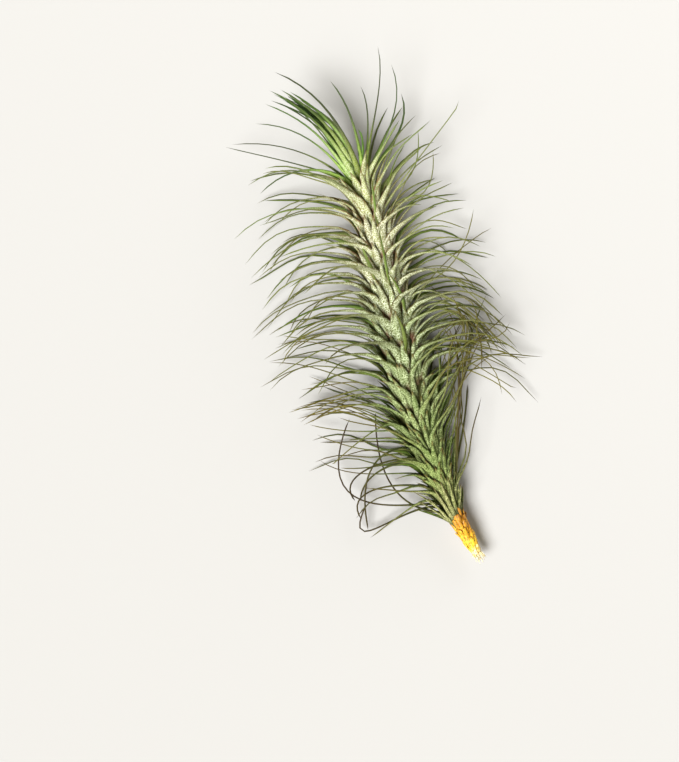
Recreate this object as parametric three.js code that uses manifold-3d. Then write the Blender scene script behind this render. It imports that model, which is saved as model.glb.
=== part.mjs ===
// Tillandsia funckiana, an air plant: one leafy stem with a crown of young leaves and a bare stem foot.
// It lies on a flat surface as picked. Millimetres, +Z up, +Y from the stem's foot towards its crown.
// The origin is on the surface, under the middle of the plant's box.
import * as THREE from "three";
import { mergeVertices } from "three/addons/utils/BufferGeometryUtils.js";
import Module from "manifold-3d";

const wasm = await Module();
wasm.setup();

// Stem: y runs from the foot's cut end, at y = 0, until the plant is moved to its origin.
const stem = { length: 97.5, bow: 27, footHeight: 4.4, midHeight: 6.3, crownLift: 3.4 };
const origin = { x: -4.12, y: 62.81 }; // the middle of the plant's box
const footTop = 10.6;
const crownBottom = 93.5;
const crownTop = 103;
const seam = 0.3; // gap between neighbouring pieces of the stem
const coreRadius = [
  [0, 1.1], [2.5, 1.45], [6, 1.75], [11, 2.05], [16, 2.7],
  [24, 3.6], [34, 4.4], [60, 4.7], [80, 4.0], [93, 2.5],
];
const crownCoreRadius = [[93, 1.7], [96, 1.5], [100, 0.7], [103, 0.25]];

// Leaves of the stem: a list of pairs gives a value by where along the stem a leaf is rooted.
const leafCount = 168;
const leafRootFrom = 11.8;
const leafRootTo = 91;
const crowding = 1.22; // above 1, leaves root closer together towards the foot
const goldenAngle = 137.508;
const leafSink = 0.8; // how deep a leaf's root sits in the stem
const leafBreadth = [[12, 0.8], [42, 1], [91, 1]]; // a leaf's base, as a share of the broadest
const leftLength = [[12, 26], [24, 31], [34, 35], [65, 34], [80, 33], [91, 32]];
const rightLength = [[12, 32], [40, 34], [65, 29], [78, 26], [91, 27]];
const wornShare = [[12, 0.72], [34, 0.55], [46, 0.12], [60, 0]]; // leaves whose thread has worn off
const wornLength = 9.5;

// Degrees between a leaf and the stem at its base, and at the thread's end on the left, right and upper sides
const lift = 14;
const leftTipAngle = [
  [12, 104], [24, 86], [36, 82], [44, 97], [52, 112], [66, 128], [80, 134], [86, 114], [91, 84],
];
const rightTipAngle = [
  [12, 22], [28, 34], [35, 46], [38, 148], [46, 164], [58, 160], [70, 122], [80, 82], [91, 52],
];
const upperTipAngle = [[12, 50], [27, 64], [40, 112], [66, 112], [80, 84], [91, 52]];
const flare = [[12, 34], [34, 22], [48, 0]]; // how much further a side leaf's base leans out
const waver = [[12, 13], [30, 10], [40, 6], [91, 6]]; // how far a thread wavers
const splay = 0.32; // slope at which an upper or lower leaf's base leans to its own side

// Along a leaf: millimetres from its root
const leafWidth = [[0, 2.2], [3, 2.9], [5.5, 2.6], [8, 1.6], [10, 1.1], [15, 0.78], [60, 0.66]];
const leafThickness = [[0, 0.8], [5, 0.95], [9, 0.8], [14, 0.68], [22, 0.64], [60, 0.62]];
const arch = { from: 2.5, to: 12, share: 0.55 }; // the bend in a leaf's base, as a share of its whole bend
const threadFrom = 10; // where a leaf stands clear of the stem
const waveLength = 4.2; // for one radian of a thread's waves
const threadGap = 0.95; // between the middles of two threads
const thinnest = 0.66; // width of a thread
const floorHeight = 0.22; // a thread's middle, where it lies on the surface
const settling = 2.5; // the height over which a falling thread turns level

const steps = 60; // points along a leaf, less one
const redraws = 8; // tries at a leaf whose thread keeps its gap

const rad = THREE.MathUtils.degToRad;
const vec = (x, y, z) => new THREE.Vector3(x, y, z);

// A value read from a list of [place, value] pairs, with straight lines between them
function along(knots, place) {
  const next = knots.findIndex(([at]) => at >= place);
  if (next === 0) return knots[0][1];
  if (next < 0) return knots[knots.length - 1][1];
  const [from, to] = [knots[next - 1], knots[next]];
  return from[1] + ((to[1] - from[1]) * (place - from[0])) / (to[0] - from[0]);
}

function ease(place, from, to) {
  const t = Math.min(1, Math.max(0, (place - from) / (to - from)));
  return t * t * (3 - 2 * t);
}

// Seeded draws between -1 and 1
let drawn = 20269;
function draw() {
  drawn = (drawn * 48271) % 2147483647;
  return (2 * drawn) / 2147483647 - 1;
}

function stemPoint(y) {
  const u = y / stem.length;
  const z =
    stem.footHeight +
    (stem.midHeight - stem.footHeight) * ease(u, 0, 0.4) +
    stem.crownLift * ease(u, 0.7, 1.05);
  return vec(-stem.bow * u * (1 - u) * (1 - u), y, z);
}

// The stem's direction, its upper side and its right side at y
function stemFrame(y) {
  const forward = stemPoint(y + 0.5).sub(stemPoint(y - 0.5)).normalize();
  const up = vec(0, 0, 1).addScaledVector(forward, -forward.z).normalize();
  return { forward, up, right: forward.clone().cross(up) };
}

// Out of the stem at an azimuth in degrees: 0 is up, 90 right, 180 down, 270 left
function outward(frame, azimuth) {
  return frame.up
    .clone()
    .multiplyScalar(Math.cos(rad(azimuth)))
    .addScaledVector(frame.right, Math.sin(rad(azimuth)));
}

// The direction turned by an angle from one unit vector towards another at right angles to it
function between(one, other, angle) {
  return one.clone().multiplyScalar(Math.cos(angle)).addScaledVector(other, Math.sin(angle));
}

// A mature leaf: it runs up the stem, arches out, and ends in a long thread that stays above the surface.
// Where the thread has worn off, only the first part of that path is left.
function leafPath({ rootY, azimuth, length, left, tipAngle, lean, swing, sag, wave, phase }) {
  const frame = stemFrame(rootY);
  const rootRadius = along(coreRadius, rootY) - leafSink;
  const point = stemPoint(rootY).addScaledVector(outward(frame, azimuth), rootRadius);
  const turn = rad(azimuth);
  const slope = splay * Math.sign(Math.sin(turn)) * Math.cos(turn);
  const sideways = outward(frame, azimuth + 90).multiplyScalar(slope);
  const points = [point.clone()];
  const step = left / steps;
  for (let i = 0; i < steps; i++) {
    const at = (i + 0.5) * step;
    const bent = arch.share * ease(at, arch.from, arch.to) + (1 - arch.share) * ease(at, threadFrom, length);
    const ripple = wave * Math.sin(at / waveLength + phase) * ease(at, 8, 20);
    const leaning = lean * ease(at, 2, 8) * (1 - ease(at, 9, 20));
    const beta = rad(lift + (tipAngle - lift) * bent + leaning + ripple);
    const out = outward(frame, azimuth + swing * ease(at, 1, 0.6 * length) + ripple);
    const direction = between(frame.forward, out, beta);
    direction.addScaledVector(sideways, ease(at, 3, 8) * (1 - ease(at, 9, 17)));
    direction.z -= sag * ease(at, threadFrom, length);
    if (direction.z < 0) direction.z *= Math.min(1, Math.max(0, (point.z - floorHeight) / settling));
    point.addScaledVector(direction.normalize(), step);
    point.z = Math.max(point.z, floorHeight);
    points.push(point.clone());
  }
  return points;
}

// A leaf led to a chosen tip: it leaves its root along the stem, and is drawn towards one point on its way
function ledPath({ rootY, azimuth, sink, reach, near, tip }, radiusKnots) {
  const frame = stemFrame(rootY);
  const out = outward(frame, azimuth);
  const root = stemPoint(rootY).addScaledVector(out, along(radiusKnots, rootY) - sink);
  const held = root.clone().addScaledVector(between(frame.forward, out, rad(lift)), reach);
  return new THREE.CubicBezierCurve3(root, held, vec(...near), vec(...tip)).getPoints(steps);
}

// The points of a path that lie past threadFrom, the part that keeps clear of other leaves
function threadOf(points) {
  let length = 0;
  return points.filter((p, i) => {
    if (i > 0) length += p.distanceTo(points[i - 1]);
    return length >= threadFrom;
  });
}

function nearest(points, others) {
  let least = Infinity;
  for (const a of points) for (const b of others) least = Math.min(least, a.distanceToSquared(b));
  return Math.sqrt(least);
}

// A blade along a leaf's points: a three-sided cone bent to them, flat inside and ridged outside.
// Stations are the points where it has its corners.
function blade({ points, azimuth, rootY }, stations, widthKnots, thicknessKnots, breadth = 1) {
  const cone = new THREE.ConeGeometry(1, 1, 3, stations.length - 1);
  const frame = stemFrame(rootY);
  const side = frame.forward.clone().cross(outward(frame, azimuth));
  const places = [];
  let length = 0;
  points.forEach((p, i) => {
    if (i > 0) length += p.distanceTo(points[i - 1]);
    const ahead = points[Math.min(i + 1, steps)].clone().sub(points[Math.max(i - 1, 0)]).normalize();
    side.addScaledVector(ahead, -side.dot(ahead)).normalize();
    places.push({ p, side: side.clone(), out: side.clone().cross(ahead), length });
  });
  const position = cone.getAttribute("position");
  for (let v = 0; v < position.count; v++) {
    const row = Math.round((position.getY(v) + 0.5) * (stations.length - 1));
    const { p, side: across, out, length: at } = places[stations[row]];
    const ring = Math.hypot(position.getX(v), position.getZ(v)) || 1; // 0 at the cone's point
    const width = Math.max(thinnest, along(widthKnots, at) * breadth);
    const a = ((position.getX(v) / ring) * width) / Math.sqrt(3);
    const b = ((position.getZ(v) / ring) * along(thicknessKnots, at)) / 1.5;
    const corner = p.clone().addScaledVector(across, a).addScaledVector(out, b);
    position.setXYZ(v, corner.x, corner.y, corner.z);
  }
  return cone;
}

// A stretch of the stem's core between two heights, with its own radii
function core(fromY, toY, radiusKnots, rows, sides) {
  const tube = new THREE.CylinderGeometry(1, 1, 1, sides, rows);
  const position = tube.getAttribute("position");
  for (let v = 0; v < position.count; v++) {
    const y = fromY + (toY - fromY) * (position.getY(v) + 0.5);
    const frame = stemFrame(y);
    const r = along(radiusKnots, y);
    const corner = stemPoint(y)
      .addScaledVector(frame.right, position.getX(v) * r)
      .addScaledVector(frame.up, position.getZ(v) * r);
    position.setXYZ(v, corner.x, corner.y, corner.z);
  }
  return tube;
}

function solid(geometry) {
  geometry.deleteAttribute("normal");
  geometry.deleteAttribute("uv");
  const merged = mergeVertices(geometry, 1e-3);
  return new wasm.Manifold(
    new wasm.Mesh({
      numProp: 3,
      vertProperties: merged.getAttribute("position").array,
      triVerts: new Uint32Array(merged.index.array),
    }),
  );
}

function joined(geometries) {
  return geometries.map(solid).reduce((whole, piece) => whole.add(piece));
}

function surface(made) {
  const { numProp, numVert, vertProperties, triVerts } = made.getMesh();
  const position = new Float32Array(numVert * 3);
  for (let i = 0; i < numVert; i++) {
    position.set(vertProperties.subarray(i * numProp, i * numProp + 3), i * 3);
  }
  const geometry = new THREE.BufferGeometry();
  geometry.setAttribute("position", new THREE.BufferAttribute(position, 3));
  geometry.setIndex(new THREE.BufferAttribute(triVerts, 1));
  return geometry;
}

// The largest body of a joined solid, without the loose scraps that joining leaves
function largest(made) {
  return made.decompose().reduce((most, body) => (body.volume() > most.volume() ? body : most));
}

const plant = new THREE.Group();

function addPiece(name, made, colour, roughness) {
  const geometry = surface(largest(solid(surface(made))));
  geometry.computeVertexNormals();
  const material = new THREE.MeshStandardMaterial({ color: colour, roughness, metalness: 0 });
  const mesh = new THREE.Mesh(geometry, material);
  mesh.name = name;
  mesh.position.set(-origin.x, -origin.y, 0);
  plant.add(mesh);
}

// Crown: a bunch of young leaves bent to the left, and single ones round it, each led to where its tip is
const crownLeaves = [
  { rootY: 95.0, azimuth: 300, reach: 12, near: [-6.6, 113.6, 15], tip: [-15.8, 120.6, 16] },
  { rootY: 95.6, azimuth: 330, reach: 12, near: [-5.6, 115.4, 18], tip: [-13.9, 122.6, 21] },
  { rootY: 96.2, azimuth: 270, reach: 11, near: [-5.4, 114.4, 13.5], tip: [-12.3, 122.6, 13.5] },
  { rootY: 96.8, azimuth: 350, reach: 12, near: [-4.6, 114.8, 20], tip: [-11.4, 121.5, 24] },
  { rootY: 97.4, azimuth: 240, reach: 11, near: [-4.4, 114.0, 12], tip: [-10.8, 120.3, 11.5] },
  { rootY: 98.0, azimuth: 10, reach: 11, near: [-3.4, 114.6, 18.5], tip: [-9.4, 120.6, 22] },
  { rootY: 98.6, azimuth: 200, reach: 10, near: [-3.2, 113.6, 13.5], tip: [-8.7, 118.8, 13] },
  { rootY: 99.2, azimuth: 30, reach: 10, near: [-2.4, 113.2, 16.5], tip: [-7.7, 118.7, 18.5] },
  { rootY: 94.4, azimuth: 20, reach: 13, near: [-1.6, 118.5, 21], tip: [-11.5, 125.9, 24] },
  { rootY: 94.8, azimuth: 60, reach: 12, near: [3.6, 114, 17], tip: [0.6, 120.4, 20] },
  { rootY: 94.2, azimuth: 95, reach: 9, near: [8.6, 110.5, 12], tip: [7.5, 117.9, 14] },
  { rootY: 94.6, azimuth: 80, reach: 10, near: [13.4, 115, 16], tip: [14.2, 125.4, 17] },
  { rootY: 93.9, azimuth: 110, reach: 8, near: [17.5, 107, 10], tip: [16.4, 121.2, 11] },
  { rootY: 93.8, azimuth: 130, reach: 6, near: [17.5, 103, 7], tip: [16.9, 114.3, 6] },
  { rootY: 96.4, azimuth: 70, reach: 6, near: [4.9, 105.4, 13.5], tip: [3.6, 108.1, 15] },
  { rootY: 94.6, azimuth: 285, reach: 8, near: [-7.5, 113.5, 12], tip: [-19.4, 117.4, 12] },
  { rootY: 94.3, azimuth: 265, reach: 7, near: [-12, 112, 9], tip: [-26.5, 114.8, 9] },
  { rootY: 94.0, azimuth: 250, reach: 6, near: [-14, 106.5, 6], tip: [-28.4, 115.2, 6] },
  { rootY: 93.9, azimuth: 300, reach: 7, near: [-13, 107, 13], tip: [-23.8, 100.8, 12] },
];
const crownSink = 0.5;
const crownWidth = [[0, 1.5], [4, 2.0], [8, 1.6], [12, 1.15], [18, 0.85], [26, 0.7], [60, 0.64]];
const crownThickness = [[0, 0.8], [8, 0.85], [14, 0.75], [24, 0.66], [60, 0.62]];
const crownStations = [0, 7, 14, 21, 28, 36, 44, 52, 60];
const youngLeaves = crownLeaves.map((leaf) => ({
  ...leaf,
  points: ledPath({ ...leaf, sink: crownSink }, crownCoreRadius),
}));
const crownSolid = joined([
  core(crownBottom, crownTop, crownCoreRadius, 4, 8),
  ...youngLeaves.map((leaf) => blade(leaf, crownStations, crownWidth, crownThickness)),
]);
addPiece("crown_leaves", crownSolid, 0x86a845, 0.55);

// Leafy stem: the lowest leaves are long and curl back on themselves, so they are led too.
const oldLeaves = [
  { rootY: 14.6, azimuth: 262, reach: 4, near: [-40.8, 17.3, 3], tip: [-20.0, 42.1, 7] },
  { rootY: 12.4, azimuth: 250, reach: 10, near: [-35.0, 6.5, 1], tip: [-22.7, 20.5, 4] },
  { rootY: 12.2, azimuth: 256, reach: 2, near: [-22.2, 15.3, 5], tip: [-13.2, 41.9, 3] },
  { rootY: 29.0, azimuth: 280, reach: 3.5, near: [-21.9, 36.4, 12], tip: [-24.2, 14.3, 2] },
  { rootY: 27.0, azimuth: 290, reach: 3.5, near: [-29.2, 31.9, 13], tip: [-24.9, 22.5, 8] },
  { rootY: 25.5, azimuth: 262, reach: 3.5, near: [-20.5, 30.1, 6], tip: [-23.7, 22.2, 1.2] },
  { rootY: 19.0, azimuth: 270, reach: 3.5, near: [-27.9, 28.4, 5], tip: [-25.0, 17.4, 2] },
  { rootY: 12.2, azimuth: 96, reach: 9, near: [4.5, 30, 7], tip: [10, 48, 9] },
  { rootY: 12.9, azimuth: 140, reach: 8, near: [5, 26, 2], tip: [10.5, 41, 0.9] },
];
const leafStations = [0, 6, 11, 16, 24, 35, 47, 60];
const wornStations = [0, 22, 40, 60];
const oldStations = [0, 4, 8, 12, 17, 23, 29, 35, 41, 47, 53, 60];
const crownThreads = youngLeaves.flatMap((leaf) => threadOf(leaf.points));
const placed = [];
const leaves = [];
for (const leaf of oldLeaves) {
  const points = ledPath({ ...leaf, sink: leafSink }, coreRadius);
  placed.push(...threadOf(points));
  leaves.push({ ...leaf, points, stations: oldStations });
}
for (let i = 0; i < leafCount; i++) {
  const rootY = leafRootFrom + (leafRootTo - leafRootFrom) * (i / (leafCount - 1)) ** crowding;
  const worn = 0.5 + 0.5 * draw() < along(wornShare, rootY);
  let best = null;
  for (let n = 0; n < redraws; n++) {
    const azimuth = i * goldenAngle + 6 * draw();
    const across = Math.sin(rad(azimuth));
    const high = Math.cos(rad(azimuth));
    const upperAngle = along(upperTipAngle, rootY);
    const sideAngle = along(across < 0 ? leftTipAngle : rightTipAngle, rootY);
    const tipAngle = upperAngle + (sideAngle - upperAngle) * Math.abs(across) + 17 * draw();
    const swing = (52 + 36 * draw()) * Math.sign(across) * high + 8 * draw();
    const length = along(across < 0 ? leftLength : rightLength, rootY) + 5 * draw();
    const points = leafPath({
      rootY,
      azimuth,
      length,
      left: worn ? wornLength + 2.5 * draw() : length,
      tipAngle,
      lean: along(flare, rootY) * Math.abs(across),
      swing,
      sag: 0.2 + 0.15 * draw(),
      wave: along(waver, rootY) + 4 * draw(),
      phase: Math.PI * draw(),
    });
    const thread = threadOf(points);
    const room = worn ? Infinity : Math.min(nearest(thread, placed), nearest(thread, crownThreads) - 0.5);
    if (!best || room > best.room) best = { room, points, thread, azimuth };
    if (room > threadGap) break;
  }
  if (!worn) placed.push(...best.thread);
  leaves.push({ rootY, ...best, stations: worn ? wornStations : leafStations });
}
const leafySolid = joined([
  core(footTop + seam, crownBottom - seam, coreRadius, 16, 10),
  ...leaves.map((leaf) => {
    return blade(leaf, leaf.stations, leafWidth, leafThickness, along(leafBreadth, leaf.rootY));
  }),
]).trimByPlane([0, 0, 1], 0);
addPiece("leafy_stem", leafySolid, 0x8d9d75, 0.7);

// Stem foot: the bare end of the stem, in the papery remains of old leaf bases
const scale = { count: 11, from: 1.6, to: 5, sink: 0.35, length: 5, middle: 2.7, bulge: 0.95, lift: 1.1 };
const scaleWidth = [[0, 1.6], [2, 2.1], [4, 1.6], [7, 0.6]];
const scaleThickness = [[0, 0.7], [7, 0.6]];
const scaleStations = [0, 20, 40, 60];
const scales = [];
for (let i = 0; i < scale.count; i++) {
  const rootY = scale.from + ((scale.to - scale.from) * i) / (scale.count - 1);
  const azimuth = i * goldenAngle;
  const frame = stemFrame(rootY);
  const out = outward(frame, azimuth);
  const root = stemPoint(rootY).addScaledVector(out, along(coreRadius, rootY) - scale.sink);
  const middle = root.clone().addScaledVector(frame.forward, scale.middle).addScaledVector(out, scale.bulge);
  const tip = root.clone().addScaledVector(frame.forward, scale.length).addScaledVector(out, scale.lift);
  const points = new THREE.QuadraticBezierCurve3(root, middle, tip).getPoints(steps);
  scales.push(blade({ points, azimuth, rootY }, scaleStations, scaleWidth, scaleThickness));
}
addPiece("stem_foot", joined([core(0, footTop, coreRadius, 5, 10), ...scales]), 0xc98a2c, 0.8);

export default plant;
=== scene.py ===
import math

import bmesh
import bpy
import numpy as np
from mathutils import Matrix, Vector


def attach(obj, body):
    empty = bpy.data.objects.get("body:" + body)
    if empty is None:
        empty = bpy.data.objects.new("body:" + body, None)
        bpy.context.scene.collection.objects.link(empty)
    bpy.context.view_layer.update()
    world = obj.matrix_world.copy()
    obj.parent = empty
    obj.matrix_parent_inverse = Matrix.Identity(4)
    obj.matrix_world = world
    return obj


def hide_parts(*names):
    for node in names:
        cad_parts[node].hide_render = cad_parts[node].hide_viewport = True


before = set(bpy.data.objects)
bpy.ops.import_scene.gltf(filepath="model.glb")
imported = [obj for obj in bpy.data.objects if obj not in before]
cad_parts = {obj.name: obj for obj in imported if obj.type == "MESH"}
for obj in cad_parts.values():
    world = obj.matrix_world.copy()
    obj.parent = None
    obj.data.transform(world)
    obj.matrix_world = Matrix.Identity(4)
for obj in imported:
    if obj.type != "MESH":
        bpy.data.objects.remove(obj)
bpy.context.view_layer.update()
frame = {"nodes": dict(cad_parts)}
print("frame loaded:", ", ".join(frame["nodes"]))

mm = 0.001

# The plant's own measures, in mm, with y counted from the foot's cut end
plant = {
    "origin": (-4.12, 62.81),  # middle of the box
    "length": 97.5,
    "bow": 27,
    "footHeight": 4.4,
    "midHeight": 6.3,
    "crownLift": 3.4,
    "coreRadius": [(0, 1.1), (2.5, 1.45), (6, 1.75), (11, 2.05), (16, 2.7), (24, 3.6), (34, 4.4), (60, 4.7),
                   (80, 4), (93, 2.5)],
    "crownRadius": [(93, 1.7), (96, 1.5), (100, 0.7), (103, 0.25)],
    "goldenAngle": 137.508,  # degrees from one leaf to the next
    "lift": 14,  # degrees between a leaf's base and the stem
    "floorHeight": 0.22,
    "settling": 2.5,  # height over which a falling thread turns level
    "pressedTo": 0.02,  # height of what the plant's own weight presses flat
    "steps": 60,  # points along a leaf, less one
    "longestLeaf": 44,
}


def along(knots, place):
    return float(np.interp(place, [k[0] for k in knots], [k[1] for k in knots]))


def ease(place, start, end):
    t = min(1.0, max(0.0, (place - start) / (end - start)))
    return t * t * (3 - 2 * t)


def spell(place, marks):  # rises between the first two marks and falls between the last two
    return ease(place, marks[0], marks[1]) * (1 - ease(place, marks[2], marks[3]))


def spaced(piece, i):  # number i of a piece's count, from its first place on the stem to its last
    return piece["from"] + (piece["to"] - piece["from"]) * i / (piece["count"] - 1)


def unit(v):
    return v * (1 / math.sqrt(v[0] * v[0] + v[1] * v[1] + v[2] * v[2]))


class SeededDraws:  # the same run of draws each time, between -1 and 1
    def __init__(self, seed):
        self.state = seed

    def next(self):
        self.state = (self.state * 48271) % 2147483647
        return (2 * self.state) / 2147483647 - 1

    def near(self, value, varies):
        return value + varies * self.next()


def stemPoint(y):
    u = y / plant["length"]
    rise = (plant["midHeight"] - plant["footHeight"]) * ease(u, 0, 0.4)
    lift = plant["crownLift"] * ease(u, 0.7, 1.05)
    return np.array([-plant["bow"] * u * (1 - u) * (1 - u), y, plant["footHeight"] + rise + lift])


def stemFrame(y):
    forward = unit(stemPoint(y + 0.5) - stemPoint(y - 0.5))
    up = unit(np.array([0.0, 0.0, 1.0]) - forward * forward[2])
    return forward, up, np.cross(forward, up)


def outward(y, azimuth):  # 0 is up, 90 right, 180 down, 270 left
    _, up, right = stemFrame(y)
    return up * math.cos(math.radians(azimuth)) + right * math.sin(math.radians(azimuth))


# Mature leaves: where they root, how long they are and which way their threads end
matureLeaf = {
    "count": 168,
    "from": 11.8,
    "to": 91,
    "crowding": 1.22,  # above 1, leaves root closer together towards the foot
    "sink": 0.8,
    "leftLength": [(12, 26), (24, 31), (34, 35), (65, 34), (80, 33), (91, 32)],
    "rightLength": [(12, 32), (40, 34), (65, 29), (78, 26), (91, 27)],
    "wornShare": [(12, 0.72), (34, 0.55), (46, 0.12), (60, 0)],  # leaves whose thread has worn off
    "wornLength": 9.5,
    "leftTipAngle": [(12, 104), (24, 86), (36, 82), (44, 97), (52, 112), (66, 128), (80, 134), (86, 114),
                     (91, 84)],
    "rightTipAngle": [(12, 22), (28, 34), (35, 46), (38, 148), (46, 164), (58, 160), (70, 122), (80, 82),
                      (91, 52)],
    "upperTipAngle": [(12, 50), (27, 64), (40, 112), (66, 112), (80, 84), (91, 52)],
    "splay": 0.32,  # slope at which an upper or lower leaf's base leans to its own side
    "flare": [(12, 34), (34, 22), (48, 0)],  # degrees that a side leaf's base leans out past its thread
    "waver": [(12, 13), (30, 10), (40, 6), (91, 6)],  # degrees that a thread wavers
    "arch": (2.5, 12, 0.55),  # from, to, and the share of the leaf's bend that lies there
    "splaying": (3, 8, 9, 17),  # mm from the root between which the base splays, and the same for the flare
    "flaring": (2, 8, 9, 20),
    "waving": (8, 20),
    "waveLength": 4.2,
    "threadFrom": 10,
    "swing": (52, 36, 8),  # degrees that a thread turns to its own side, and how far that varies
    "swungAt": 0.6,  # of its length
    "sag": (0.2, 0.15),  # how much a thread falls, and how far that varies
    "varies": {"azimuth": 6, "tipAngle": 17, "length": 5, "wornLength": 2.5, "wave": 4},
    "threadGap": 0.95,
    "crownGap": 0.5,  # more than that to the crown's threads
    "redraws": 8,
    "seed": 20269,
}

# Led leaves: where on the stem each is rooted, its azimuth, how far it reaches up the stem, the point that it
# bends towards and its tip. The lowest ones are long and curl back on themselves.
oldLeaf = [
    (14.6, 262, 4, (-40.8, 17.3, 3), (-20, 42.1, 7)),
    (12.4, 250, 10, (-35, 6.5, 1), (-22.7, 20.5, 4)),
    (12.2, 256, 2, (-22.2, 15.3, 5), (-13.2, 41.9, 3)),
    (29, 280, 3.5, (-21.9, 36.4, 12), (-24.2, 14.3, 2)),
    (27, 290, 3.5, (-29.2, 31.9, 13), (-24.9, 22.5, 8)),
    (25.5, 262, 3.5, (-20.5, 30.1, 6), (-23.7, 22.2, 1.2)),
    (19, 270, 3.5, (-27.9, 28.4, 5), (-25, 17.4, 2)),
    (12.2, 96, 9, (4.5, 30, 7), (10, 48, 9)),
    (12.9, 140, 8, (5, 26, 2), (10.5, 41, 0.9)),
]

# Young leaves: a bunch bent to the left, then single ones round it, of which one is short and fine
youngLeaf = [
    (95, 300, 12, (-6.6, 113.6, 15), (-15.8, 120.6, 16)),
    (95.6, 330, 12, (-5.6, 115.4, 18), (-13.9, 122.6, 21)),
    (96.2, 270, 11, (-5.4, 114.4, 13.5), (-12.3, 122.6, 13.5)),
    (96.8, 350, 12, (-4.6, 114.8, 20), (-11.4, 121.5, 24)),
    (97.4, 240, 11, (-4.4, 114, 12), (-10.8, 120.3, 11.5)),
    (98, 10, 11, (-3.4, 114.6, 18.5), (-9.4, 120.6, 22)),
    (98.6, 200, 10, (-3.2, 113.6, 13.5), (-8.7, 118.8, 13)),
    (99.2, 30, 10, (-2.4, 113.2, 16.5), (-7.7, 118.7, 18.5)),
    (94.4, 20, 13, (-1.6, 118.5, 21), (-11.5, 125.9, 24)),
    (94.8, 60, 12, (3.6, 114, 17), (0.6, 120.4, 20)),
    (94.2, 95, 9, (8.6, 110.5, 12), (7.5, 117.9, 14)),
    (94.6, 80, 10, (13.4, 115, 16), (14.2, 125.4, 17)),
    (93.9, 110, 8, (17.5, 107, 10), (16.4, 121.2, 11)),
    (93.8, 130, 6, (17.5, 103, 7), (16.9, 114.3, 6)),
    (96.4, 70, 6, (4.9, 105.4, 13.5), (3.6, 108.1, 15)),
    (94.6, 285, 8, (-7.5, 113.5, 12), (-19.4, 117.4, 12)),
    (94.3, 265, 7, (-12, 112, 9), (-26.5, 114.8, 9)),
    (94, 250, 6, (-14, 106.5, 6), (-28.4, 115.2, 6)),
    (93.9, 300, 7, (-13, 107, 13), (-23.8, 100.8, 12)),
]
crown = {"sink": 0.5, "bunch": 8, "short": 14}  # how many stand in the bunch, and which one is short


def leafPath(rootY, azimuth, length, left, tipAngle, lean, splay, swing, sag, wave, phase):
    forward = stemFrame(rootY)[0]
    radius = along(plant["coreRadius"], rootY) - matureLeaf["sink"]
    point = stemPoint(rootY) + outward(rootY, azimuth) * radius
    turn = math.radians(azimuth)
    slope = splay * math.copysign(1, math.sin(turn)) * math.cos(turn)
    sideways = outward(rootY, azimuth + 90) * slope
    archFrom, archTo, archShare = matureLeaf["arch"]
    threadFrom = matureLeaf["threadFrom"]
    points = [point]
    step = left / plant["steps"]
    for i in range(plant["steps"]):
        at = (i + 0.5) * step
        bent = archShare * ease(at, archFrom, archTo) + (1 - archShare) * ease(at, threadFrom, length)
        ripple = wave * math.sin(at / matureLeaf["waveLength"] + phase) * ease(at, *matureLeaf["waving"])
        leaning = lean * spell(at, matureLeaf["flaring"])
        beta = math.radians(plant["lift"] + (tipAngle - plant["lift"]) * bent + leaning + ripple)
        out = outward(rootY, azimuth + swing * ease(at, 1, matureLeaf["swungAt"] * length) + ripple)
        direction = forward * math.cos(beta) + out * math.sin(beta)
        direction = direction + sideways * spell(at, matureLeaf["splaying"])
        direction[2] -= sag * ease(at, threadFrom, length)
        if direction[2] < 0:
            direction[2] *= min(1.0, max(0.0, (point[2] - plant["floorHeight"]) / plant["settling"]))
        point = point + unit(direction) * step
        point[2] = max(point[2], plant["floorHeight"])
        points.append(point)
    return np.array(points)


def ledPath(leaf, sink, radiusKnots):  # from its root up the stem, towards one point, to a chosen tip
    out = outward(leaf["rootY"], leaf["azimuth"])
    root = stemPoint(leaf["rootY"]) + out * (along(radiusKnots, leaf["rootY"]) - sink)
    lift = math.radians(plant["lift"])
    away = stemFrame(leaf["rootY"])[0] * math.cos(lift) + out * math.sin(lift)
    held = root + away * leaf["reach"]
    t = np.linspace(0, 1, plant["steps"] + 1)[:, None]
    near, tip = np.array(leaf["near"]), np.array(leaf["tip"])
    return (1 - t) ** 3 * root + 3 * (1 - t) ** 2 * t * held + 3 * (1 - t) * t ** 2 * near + t ** 3 * tip


def growLed(rows, sink, radiusKnots, worn):
    leaves = [dict(zip(("rootY", "azimuth", "reach", "near", "tip"), row)) for row in rows]
    return [dict(leaf, path=ledPath(leaf, sink, radiusKnots), worn=worn) for leaf in leaves]


def threadOf(path):
    lengths = np.concatenate([[0], np.cumsum(np.linalg.norm(np.diff(path, axis=0), axis=1))])
    return path[lengths >= matureLeaf["threadFrom"]]


def nearest(points, others):
    return math.sqrt(((points[:, None, :] - others[None, :, :]) ** 2).sum(axis=2).min())


def rootPlace(i):  # where along the stem leaf number i is rooted
    share = (i / (matureLeaf["count"] - 1)) ** matureLeaf["crowding"]
    return matureLeaf["from"] + (matureLeaf["to"] - matureLeaf["from"]) * share


def tipAngleAt(rootY, azimuth):
    across = math.sin(math.radians(azimuth))
    upper = along(matureLeaf["upperTipAngle"], rootY)
    side = along(matureLeaf["leftTipAngle" if across < 0 else "rightTipAngle"], rootY)
    return upper + (side - upper) * abs(across)


def drawSwing(swing, azimuth, draws):
    turn = math.radians(azimuth)
    own = draws.near(*swing[:2]) * math.copysign(1, math.sin(turn)) * math.cos(turn)
    return own + swing[2] * draws.next()


def lengthAt(rootY, azimuth):
    return along(matureLeaf["leftLength" if math.sin(math.radians(azimuth)) < 0 else "rightLength"], rootY)


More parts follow.
